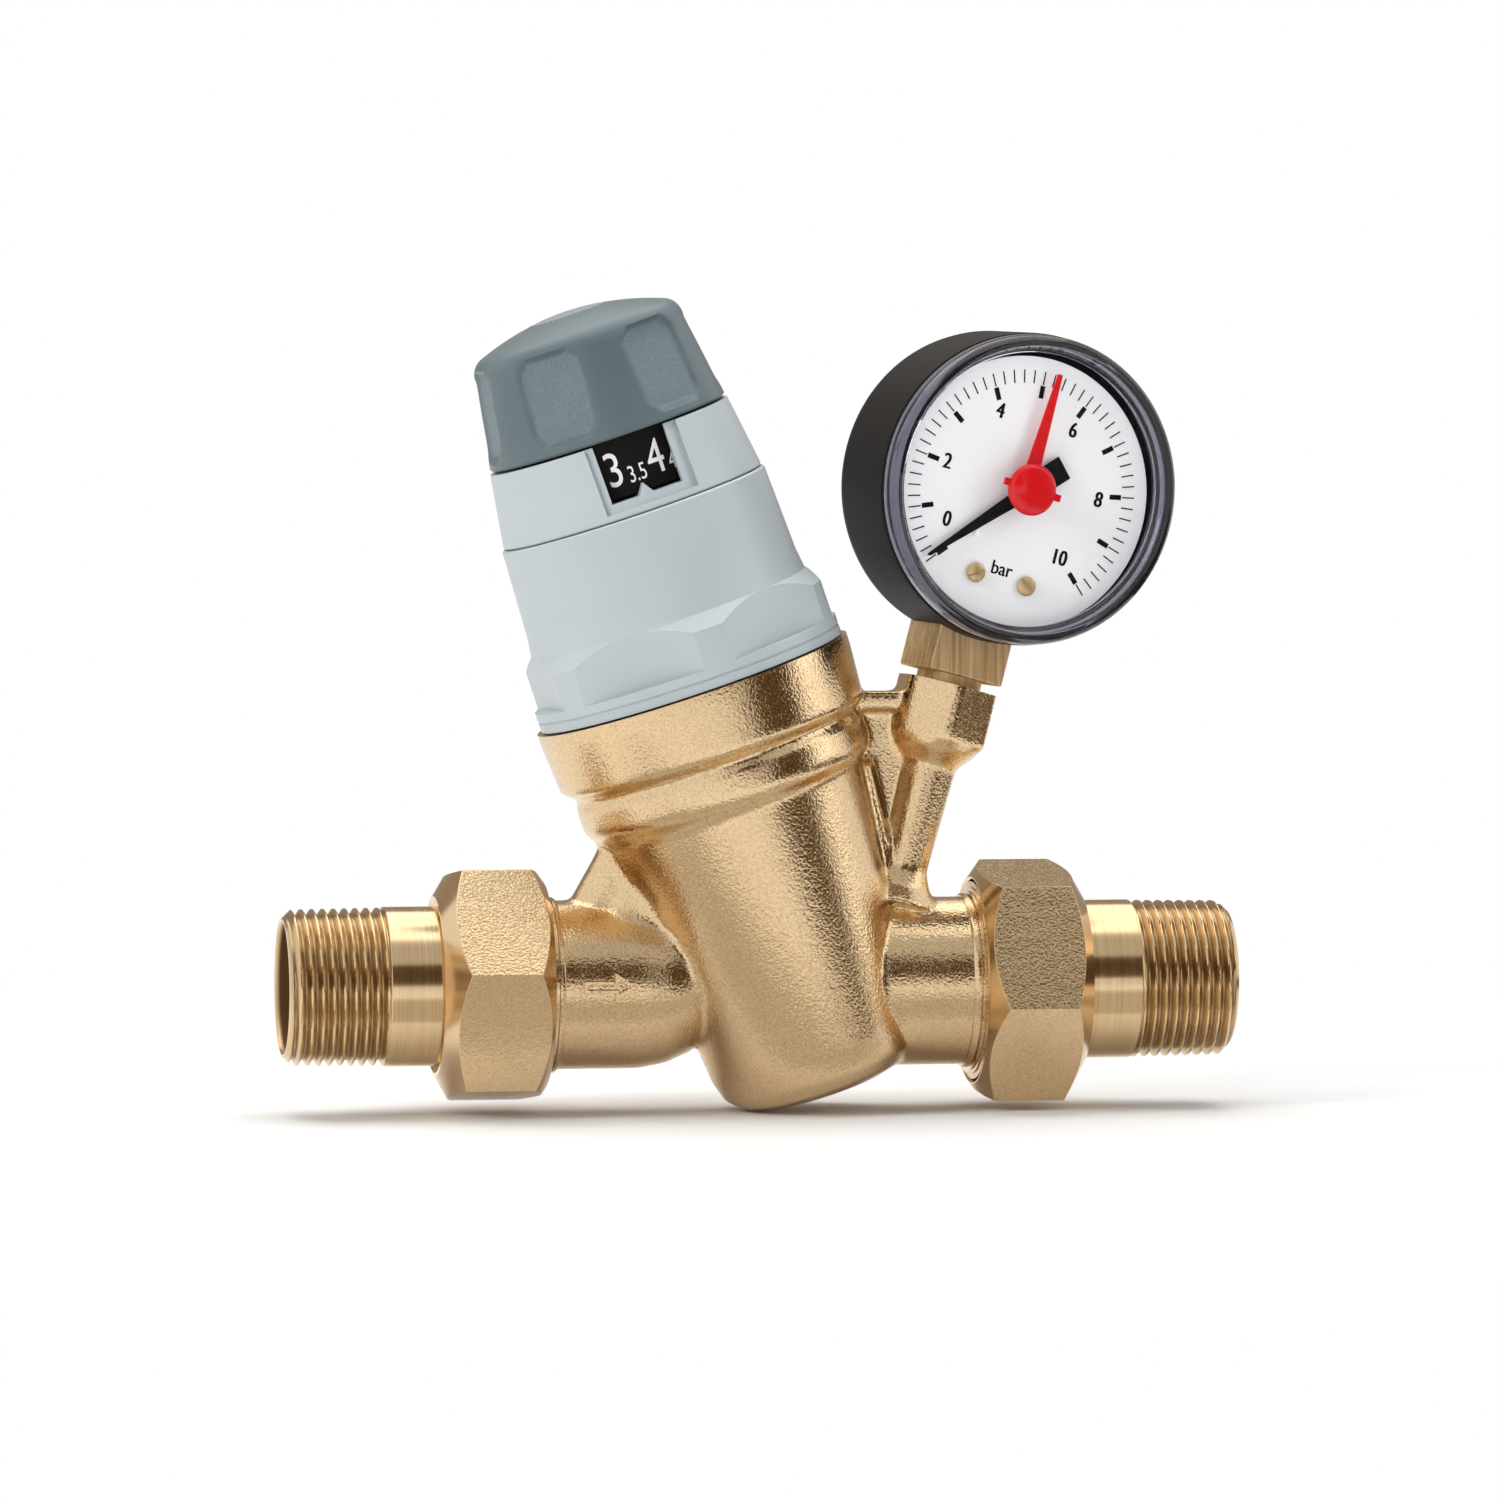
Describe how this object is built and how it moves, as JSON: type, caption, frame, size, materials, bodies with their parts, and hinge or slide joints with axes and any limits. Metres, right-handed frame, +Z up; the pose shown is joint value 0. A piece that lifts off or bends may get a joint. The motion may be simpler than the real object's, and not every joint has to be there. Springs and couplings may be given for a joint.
{
  "type": "pressure reducing valve",
  "caption": "Inline brass pressure reducing valve with union ends, an inclined spring barrel under an adjusting knob with a scale window, and a dial gauge with a set hand.",
  "frame": {"origin": "on the pipe axis, midway between the two pipe end faces", "axes": "+X along the pipe from inlet to outlet, +Z up toward the knob, the dial faces -Y"},
  "size_m": [0.16, 0.0546, 0.1361],
  "materials": {
    "cast_brass": "sand cast",
    "turned_brass": "turned, bright",
    "steel": "bright",
    "rubber": "matte",
    "fibre": "matte fibre",
    "light_grey": "satin moulded",
    "slate": "satin moulded",
    "pale_slate": "satin moulded",
    "black": "satin moulded",
    "clear": "clear, polished",
    "white": "satin print ground",
    "red": "gloss",
    "nylon": "matte"
  },
  "bodies": {
    "valve": {"bonnet": "light_grey", "bourdon_tube": "turned_brass", "cartridge_cage": "nylon", "clamp_ring": "steel", "dial_screw_left": "turned_brass", "dial_screw_right": "turned_brass", "diaphragm": "rubber", "gauge_case": "black", "gauge_dial": "white", "gauge_socket": "turned_brass", "gauge_window": "clear", "indicator_ring": "light_grey", "inlet_gasket": "fibre", "inlet_tailpiece": "turned_brass", "lower_o_ring": "rubber", "movement_plate": "turned_brass", "outlet_gasket": "fibre", "outlet_tailpiece": "turned_brass", "seat_ring": "steel", "setting_spring": "steel", "strainer_sleeve": "steel", "thrust_washer": "nylon", "upper_o_ring": "rubber", "valve_body": "cast_brass", "zero_pin": "steel"},
    "knob": {"adjusting_knob": "slate", "knob_cap": "pale_slate", "knob_screw": "steel", "scale_drum": "black", "adjusting_screw": "turned_brass"},
    "follower": {"spring_follower": "turned_brass"},
    "stem": {"valve_stem": "steel", "shutter": "turned_brass", "shutter_seal": "rubber", "lower_plate": "turned_brass", "spring_cup": "steel", "stem_nut": "steel"},
    "pointer": {"gauge_pointer": "black", "pointer_arbor": "steel"},
    "sector": {"sector_gear": "turned_brass"},
    "link": {"tube_link": "steel"},
    "set_hand": {"set_hand": "red", "set_hand_grip": "red"},
    "inlet_nut": {"inlet_union_nut": "cast_brass"},
    "outlet_nut": {"outlet_union_nut": "cast_brass"}
  },
  "joints": [
    {"name": "knob_turn", "type": "hinge", "parent": "valve", "child": "knob", "pos_m": [-0.02616, 0, 0.09472], "axis": [-0.3206, 0, 0.9472], "range_deg": [-56, 56]},
    {"name": "follower_slide", "type": "slide", "parent": "valve", "child": "follower", "axis": [-0.3206, 0, 0.9472], "range_m": [-0.0026, 0.0026], "deforming": ["setting_spring"]},
    {"name": "stem_slide", "type": "slide", "parent": "valve", "child": "stem", "axis": [-0.3206, 0, 0.9472], "range_m": [0, 0.0025], "stiffness_N_per_m": 400, "springref_m": -0.003, "deforming": ["diaphragm"]},
    {"name": "pointer_turn", "type": "hinge", "parent": "valve", "child": "pointer", "pos_m": [0.04315, -0.00937, 0.08199], "axis": [-0.2164, 0.9761, 0.0208], "range_deg": [0, 270], "deforming": ["bourdon_tube"]},
    {"name": "sector_turn", "type": "hinge", "parent": "valve", "child": "sector", "pos_m": [0.04699, 0.00277, 0.07135], "axis": [-0.2164, 0.9761, 0.0208], "range_deg": [-46, 0.5]},
    {"name": "link_turn", "type": "hinge", "parent": "sector", "child": "link", "pos_m": [0.04762, 0.00303, 0.06589], "axis": [-0.2164, 0.9761, 0.0208], "range_deg": [-0.5, 46]},
    {"name": "set_hand_turn", "type": "hinge", "parent": "valve", "child": "set_hand", "pos_m": [0.04403, -0.01257, 0.08259], "axis": [-0.2164, 0.9761, 0.0208], "range_deg": [-137.7, 132.3]},
    {"name": "inlet_nut_turn", "type": "hinge", "parent": "valve", "child": "inlet_nut", "pos_m": [-0.045, 0, 0], "axis": [1, 0, 0], "continuous": true},
    {"name": "outlet_nut_turn", "type": "hinge", "parent": "valve", "child": "outlet_nut", "pos_m": [0.045, 0, 0], "axis": [1, 0, 0], "continuous": true}
  ],
  "couplings": [
    {"joint": "follower_slide", "follows": "knob_turn", "m_per_rad": 0.0026},
    {"joint": "sector_turn", "follows": "pointer_turn", "ratio": -0.16667},
    {"joint": "link_turn", "follows": "pointer_turn", "ratio": 0.16667}
  ]
}
